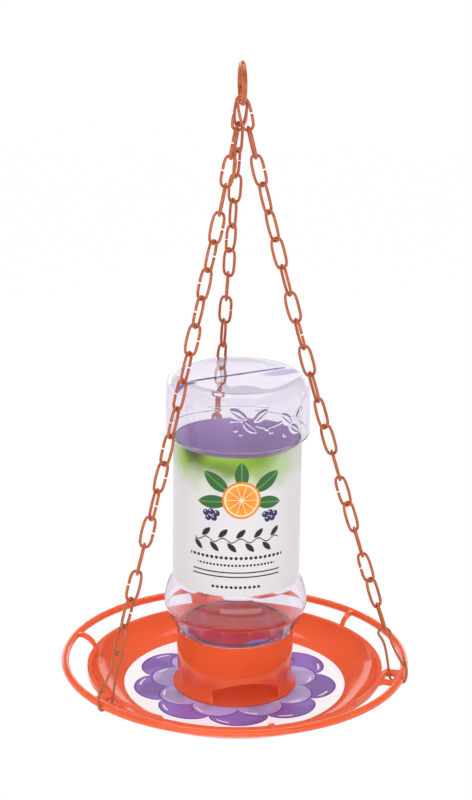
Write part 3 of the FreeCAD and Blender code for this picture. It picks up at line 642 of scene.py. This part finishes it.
class FEEDER_OT_card(bpy.types.Operator):
    """Print the card on the dish's floor"""
    bl_idname = "feeder.card"
    bl_label = "Card"

    def execute(self, context):
        add_piece("printed_card", copy_of_node("insert_card"), "feeder",
                  [card_print()], replaces=["insert_card"])
        return {"FINISHED"}


class FEEDER_OT_base(bpy.types.Operator):
    """Finish the feeding base"""
    bl_idname = "feeder.base"
    bl_label = "Feeding base"

    def execute(self, context):
        plastic = orange_plastic("thin_moulded_orange", context.scene.feeder_plastic.thin_wall)
        base = add_piece("moulded_base", copy_of_node("feeding_base"), "base",
                         [plastic], replaces=["feeding_base"])
        weigh_normals(base)
        return {"FINISHED"}


def jar_section():
    """Half of the jar's cross-section in the plane of X and Z, with rows where relief will stand."""
    bm = copy_of_node("jar")
    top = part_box("jar")[1].z
    for normal, clear_inner in (((0.0, 1.0, 0.0), True), ((-1.0, 0.0, 0.0), False)):
        bmesh.ops.bisect_plane(bm, geom=bm.verts[:] + bm.edges[:] + bm.faces[:], dist=1e-6,
                               plane_co=(0.0, 0.0, 0.0), plane_no=normal,
                               clear_inner=clear_inner, clear_outer=True)
    bmesh.ops.remove_doubles(bm, verts=bm.verts, dist=2e-5)
    bmesh.ops.dissolve_limit(bm, angle_limit=math.radians(0.3), verts=bm.verts, edges=bm.edges)
    for edge in list(bm.edges):
        first, second = (vert.co for vert in edge.verts)
        on_head = min(first.x, second.x) > HEAD_WALL and (first - second).length > 0.015
        on_top = min(first.z, second.z) > top - FLAT
        if on_head or on_top:
            bmesh.ops.subdivide_edges(bm, edges=[edge], cuts=HEAD_ROWS if on_head else TOP_ROWS)
    for edge in list(bm.edges):
        lower, upper = sorted((vert.co for vert in edge.verts), key=lambda place: place.z)
        if lower.z < SHOULDER_BEAD < upper.z and lower.x > LABEL_RADIUS:
            inner = bmesh.ops.subdivide_edges(bm, edges=[edge], cuts=3)["geom_inner"]
            points = [item for item in inner if isinstance(item, bmesh.types.BMVert)]
            points.sort(key=lambda vert: vert.co.z)
            points[1].co.x += BEAD_OUT
    return bm


def sprig_relief(across, height):
    """How far the moulded leaves, berries and stem stand out of the wall at a place, from 0 to 1."""
    place = Vector((across, height, 0.0))
    level = 0.0
    for leaf in SPRIG_LEAVES:
        first, second, radius = leaf_circles(*leaf)
        near, far = sorted(((place - first).length, (place - second).length))
        depth = min(1.0, max(0.0, (radius - far) / SPRIG_LEAF_SLOPE))
        vein = min(1.0, (far - near) / SPRIG_VEIN_WIDTH)
        level = max(level, depth * (0.45 + 0.55 * vein))
    for berry in SPRIG_BERRIES:
        inside = 1.0 - ((place - Vector((*berry, 0.0))).length / SPRIG_BERRY_RADIUS) ** 2
        level = max(level, math.sqrt(max(0.0, inside)))
    stem_height = 0.2025 - 0.05 * (across - 0.03) + 0.0022 * math.sin(across * 170.0)
    if SPRIG_STEM_START < across < SPRIG_STEM_END:
        level = max(level, 0.7 * max(0.0, 1.0 - abs(height - stem_height) / SPRIG_STEM_HALF))
    return level


def add_seam(bm):
    """Raises the thin pinch seam across the jar's flat top."""
    settings = bpy.context.scene.feeder_plastic
    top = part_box("jar")[1].z
    along = Vector((math.cos(settings.seam_turn), math.sin(settings.seam_turn), 0.0))
    aside = Vector((-along.y, along.x, 0.0))
    for offset in (-0.5, 0.0, 0.5):
        flat = [face for face in bm.faces if min(vert.co.z for vert in face.verts) > top - FLAT]
        edges = {edge for face in flat for edge in face.edges}
        verts = {vert for face in flat for vert in face.verts}
        bmesh.ops.bisect_plane(bm, geom=[*verts, *edges, *flat], dist=1e-7,
                               plane_co=aside * offset * settings.seam_width, plane_no=aside)
    for vert in bm.verts:
        from_end = settings.seam_length / 2 - abs(vert.co.dot(along))
        if vert.co.z > top - FLAT and abs(vert.co.dot(aside)) < 1e-6 and from_end > 0.0:
            vert.co.z += settings.seam_height * min(1.0, from_end / SEAM_TAPER)


class FEEDER_OT_jar(bpy.types.Operator):
    """Spin the blown jar, and raise its sprig and seam"""
    bl_idname = "feeder.jar"
    bl_label = "Jar"

    def execute(self, context):
        settings = context.scene.feeder_plastic
        bm = jar_section()
        bmesh.ops.rotate(bm, verts=bm.verts, cent=(0.0, 0.0, 0.0),
                         matrix=Matrix.Rotation(settings.sprig_turn, 3, "Z"))
        section = bm.verts[:] + bm.edges[:]
        for angle, steps in ((SPRIG_ARC, SPRIG_STEPS), (math.tau - SPRIG_ARC, PLAIN_STEPS)):
            spun = bmesh.ops.spin(bm, geom=section, cent=(0.0, 0.0, 0.0), axis=(0.0, 0.0, 1.0),
                                  dvec=(0.0, 0.0, 0.0), angle=angle, steps=steps, use_merge=False)
            section = spun["geom_last"]
        bmesh.ops.remove_doubles(bm, verts=bm.verts, dist=2e-6)
        bmesh.ops.recalc_face_normals(bm, faces=bm.faces)
        for vert in bm.verts:
            wall = vert.co.xy.length
            turn = (math.atan2(vert.co.y, vert.co.x) - settings.sprig_turn) % math.tau
            if wall > HEAD_WALL and turn < SPRIG_ARC:
                out = settings.sprig_height * sprig_relief(turn * wall, vert.co.z)
                vert.co.xy *= 1.0 + out / wall
        add_seam(bm)
        add_piece("blown_jar", bm, "bottle", [clear_plastic()], replaces=["jar"])
        return {"FINISHED"}


class FEEDER_OT_label(bpy.types.Operator):
    """Print the label, with a plain lilac back"""
    bl_idname = "feeder.label"
    bl_label = "Label"

    def execute(self, context):
        bm = copy_of_node("jar_label")
        bm.normal_update()
        for face in bm.faces:
            outward = face.calc_center_median()
            outward.z = 0.0
            face.material_index = 1 if face.normal.dot(outward) < 0 else 0
        add_piece("label_sleeve", bm, "bottle",
                  [label_film(), film_back()], replaces=["jar_label"])
        return {"FINISHED"}


class FEEDER_OT_hanger(bpy.types.Operator):
    """Round and paint the hanging ring, the chains and the clips"""
    bl_idname = "feeder.hanger"
    bl_label = "Ring, chains and clips"

    def execute(self, context):
        wire = context.scene.feeder_wire
        chain_paint = wire_paint("chain_paint", wire.chain, 0.3)
        clip_paint = wire_paint("clip_paint", wire.clip, 0.38)
        add_piece("wire_ring", copy_of_node("hanging_ring"), "hanger",
                  [chain_paint], replaces=["hanging_ring"])
        for side in ("right", "left", "back"):
            for part, paint in (("chain", chain_paint), ("clip", clip_paint)):
                node = side + "_" + part
                piece = add_piece(side + "_wire_" + part, round_wire(copy_of_node(node)), "feeder",
                                  [paint], replaces=[node], crease=math.pi)
                subdivide(piece, wire.rounding)
        return {"FINISHED"}


# Stage

JAR_MIDDLE = (0.0, 0.0, 0.15)
BACK_DISTANCE, BACK_HEIGHT = 4.6, 0.85
FLOOR_HALF = 6.0


def add_lamp(name, place, target, size, power):
    """Adds a flat lamp that shows in gloss, but not to the camera or through glass."""
    lamp = bpy.data.lights.new(name, "AREA")
    lamp.shape = "RECTANGLE"
    lamp.size, lamp.size_y = size
    lamp.energy = power
    holder = bpy.data.objects.new(name, lamp)
    holder.location = place
    holder.rotation_euler = (Vector(target) - Vector(place)).to_track_quat("-Z", "Y").to_euler()
    holder.visible_camera = False
    holder.visible_transmission = False
    bpy.context.scene.collection.objects.link(holder)


def add_camera(settings):
    """Adds the camera at the photo's viewing angle."""
    camera = bpy.data.cameras.new("photo_view")
    camera.lens = settings.lens
    camera.sensor_width = 36.0
    camera.clip_end = 20.0
    holder = bpy.data.objects.new("photo_view", camera)
    turn, height = settings.view_turn, settings.view_height
    back = Vector((-math.sin(turn) * math.cos(height), -math.cos(turn) * math.cos(height), math.sin(height)))
    right = Vector((math.cos(turn), -math.sin(turn), 0.0))
    target = right * settings.target_side + Vector((0.0, 0.0, settings.target_height))
    look = (-back).to_track_quat("-Z", "Y").to_matrix()
    look = look @ Matrix.Rotation(settings.view_roll, 3, "Z")
    holder.matrix_world = Matrix.Translation(target + back * settings.view_distance) @ look.to_4x4()
    bpy.context.scene.collection.objects.link(holder)
    bpy.context.scene.camera = holder


def seen_directly(nodes, rays):
    """One for rays from the camera, off glossy surfaces and through glass."""
    clear = nodes.math("MAXIMUM", rays.outputs["Is Glossy Ray"], rays.outputs["Is Transmission Ray"])
    return nodes.math("MAXIMUM", rays.outputs["Is Camera Ray"], clear)


def white_world(settings):
    """Even light, white to the camera, and white with a greyer ceiling and front in gloss and glass."""
    world = bpy.data.worlds.new("studio")
    bpy.context.scene.world = world
    nodes = Nodes("studio", world)
    rays = nodes.add("ShaderNodeLightPath")
    direction = nodes.add("ShaderNodeSeparateXYZ")
    nodes.link(nodes.add("ShaderNodeTexCoord").outputs["Generated"], direction.inputs[0])
    sideways = nodes.math("MULTIPLY", direction.outputs[0], math.sin(settings.view_turn))
    away = nodes.math("MULTIPLY", direction.outputs[1], math.cos(settings.view_turn))
    overhead = nodes.spread(direction.outputs[2], 0.1, 0.2, 1.0, settings.ceiling)
    in_front = nodes.spread(nodes.math("ADD", sideways, away), -0.75, 0.1, settings.front, 1.0)
    level = nodes.math("MINIMUM", overhead, in_front)
    level = nodes.math("MAXIMUM", level, rays.outputs["Is Camera Ray"])
    through = nodes.math("MULTIPLY", rays.outputs["Is Transmission Ray"], settings.glass_ceiling)
    level = nodes.math("MAXIMUM", level, through)
    strength = nodes.add("ShaderNodeMix", data_type="FLOAT")
    nodes.feed(strength.inputs[0], seen_directly(nodes, rays))
    nodes.feed(strength.inputs[2], settings.sky)
    nodes.feed(strength.inputs[3], level)
    background = nodes.add("ShaderNodeBackground")
    background.inputs["Color"].default_value = (1.0, 1.0, 1.0, 1.0)
    nodes.link(strength.outputs[0], background.inputs["Strength"])
    nodes.link(background.outputs[0], nodes.output.inputs["Surface"])


def pale_floor(settings):
    """Pale floor, white to the camera but for a share of its light and of the feeder's soft shadow."""
    nodes = Nodes("pale_floor")
    shader = nodes.surface(Base_Color=(0.9, 0.9, 0.9), Roughness=0.9, Specular_IOR_Level=0.0)
    white = nodes.add("ShaderNodeEmission")
    white.inputs["Color"].default_value = (1.0, 1.0, 1.0, 1.0)
    mixed = nodes.add("ShaderNodeMixShader")
    seen = seen_directly(nodes, nodes.add("ShaderNodeLightPath"))
    nodes.feed(mixed.inputs[0], nodes.math("MULTIPLY", seen, 1.0 - settings.floor_shade))
    nodes.link(shader.outputs[0], mixed.inputs[1])
    nodes.link(white.outputs[0], mixed.inputs[2])
    nodes.link(mixed.outputs[0], nodes.output.inputs["Surface"])
    return nodes.material


class FEEDER_OT_stage(bpy.types.Operator):
    """Set the floor, the lamps and the camera"""
    bl_idname = "feeder.stage"
    bl_label = "Stage"

    def execute(self, context):
        settings = context.scene.feeder_stage
        bm = bmesh.new()
        bmesh.ops.create_grid(bm, x_segments=1, y_segments=1, size=FLOOR_HALF)
        bmesh.ops.translate(bm, verts=bm.verts, vec=(0.0, 0.0, -settings.floor_drop))
        mesh = bpy.data.meshes.new("floor")
        bm.to_mesh(mesh)
        bm.free()
        floor = bpy.data.objects.new("floor", mesh)
        mesh.materials.append(pale_floor(settings))
        context.scene.collection.objects.link(floor)
        white_world(settings)
        turn = settings.view_turn
        behind = (math.sin(turn) * BACK_DISTANCE, math.cos(turn) * BACK_DISTANCE, BACK_HEIGHT)
        add_lamp("key", (-1.3, -1.2, 1.0), JAR_MIDDLE, (1.0, 1.4), settings.key)
        add_lamp("fill", (1.5, -0.7, 0.7), JAR_MIDDLE, (0.8, 1.4), settings.fill)
        add_lamp("low", (-0.1, -1.65, 0.42), (0.0, 0.0, 0.03), (2.2, 0.34), settings.low)
        add_lamp("back", behind, (0.0, 0.0, 0.05), (6.6, 1.7), settings.back)
        add_lamp("top", (0.1, 0.3, 1.7), JAR_MIDDLE, (1.2, 1.2), settings.top)
        add_camera(settings)
        context.scene.view_settings.view_transform = "Standard"
        return {"FINISHED"}


class FEEDER_PT_panel(bpy.types.Panel):
    """Buttons that finish each part"""
    bl_idname = "FEEDER_PT_panel"
    bl_label = "Feeder"
    bl_space_type = "VIEW_3D"
    bl_region_type = "UI"
    bl_category = "Feeder"

    def draw(self, context):
        for operator in OPERATORS:
            self.layout.operator(operator.bl_idname)


GROUPS = (FeederPlastic, FeederPrint, FeederWire, FeederStage)
OPERATORS = (FEEDER_OT_tray, FEEDER_OT_card, FEEDER_OT_base, FEEDER_OT_jar, FEEDER_OT_label,
             FEEDER_OT_hanger, FEEDER_OT_stage)


def register():
    for cls in (*GROUPS, *OPERATORS, FEEDER_PT_panel):
        bpy.utils.register_class(cls)
    bpy.types.Scene.feeder_plastic = PointerProperty(type=FeederPlastic)
    bpy.types.Scene.feeder_print = PointerProperty(type=FeederPrint)
    bpy.types.Scene.feeder_wire = PointerProperty(type=FeederWire)
    bpy.types.Scene.feeder_stage = PointerProperty(type=FeederStage)


def unregister():
    for name in ("feeder_plastic", "feeder_print", "feeder_wire", "feeder_stage"):
        delattr(bpy.types.Scene, name)
    for cls in reversed((*GROUPS, *OPERATORS, FEEDER_PT_panel)):
        bpy.utils.unregister_class(cls)


def main():
    """Finishes every part."""
    register()
    bpy.ops.feeder.tray()
    bpy.ops.feeder.card()
    bpy.ops.feeder.base()
    bpy.ops.feeder.jar()
    bpy.ops.feeder.label()
    bpy.ops.feeder.hanger()
    bpy.ops.feeder.stage()


if __name__ == "__main__":
    main()
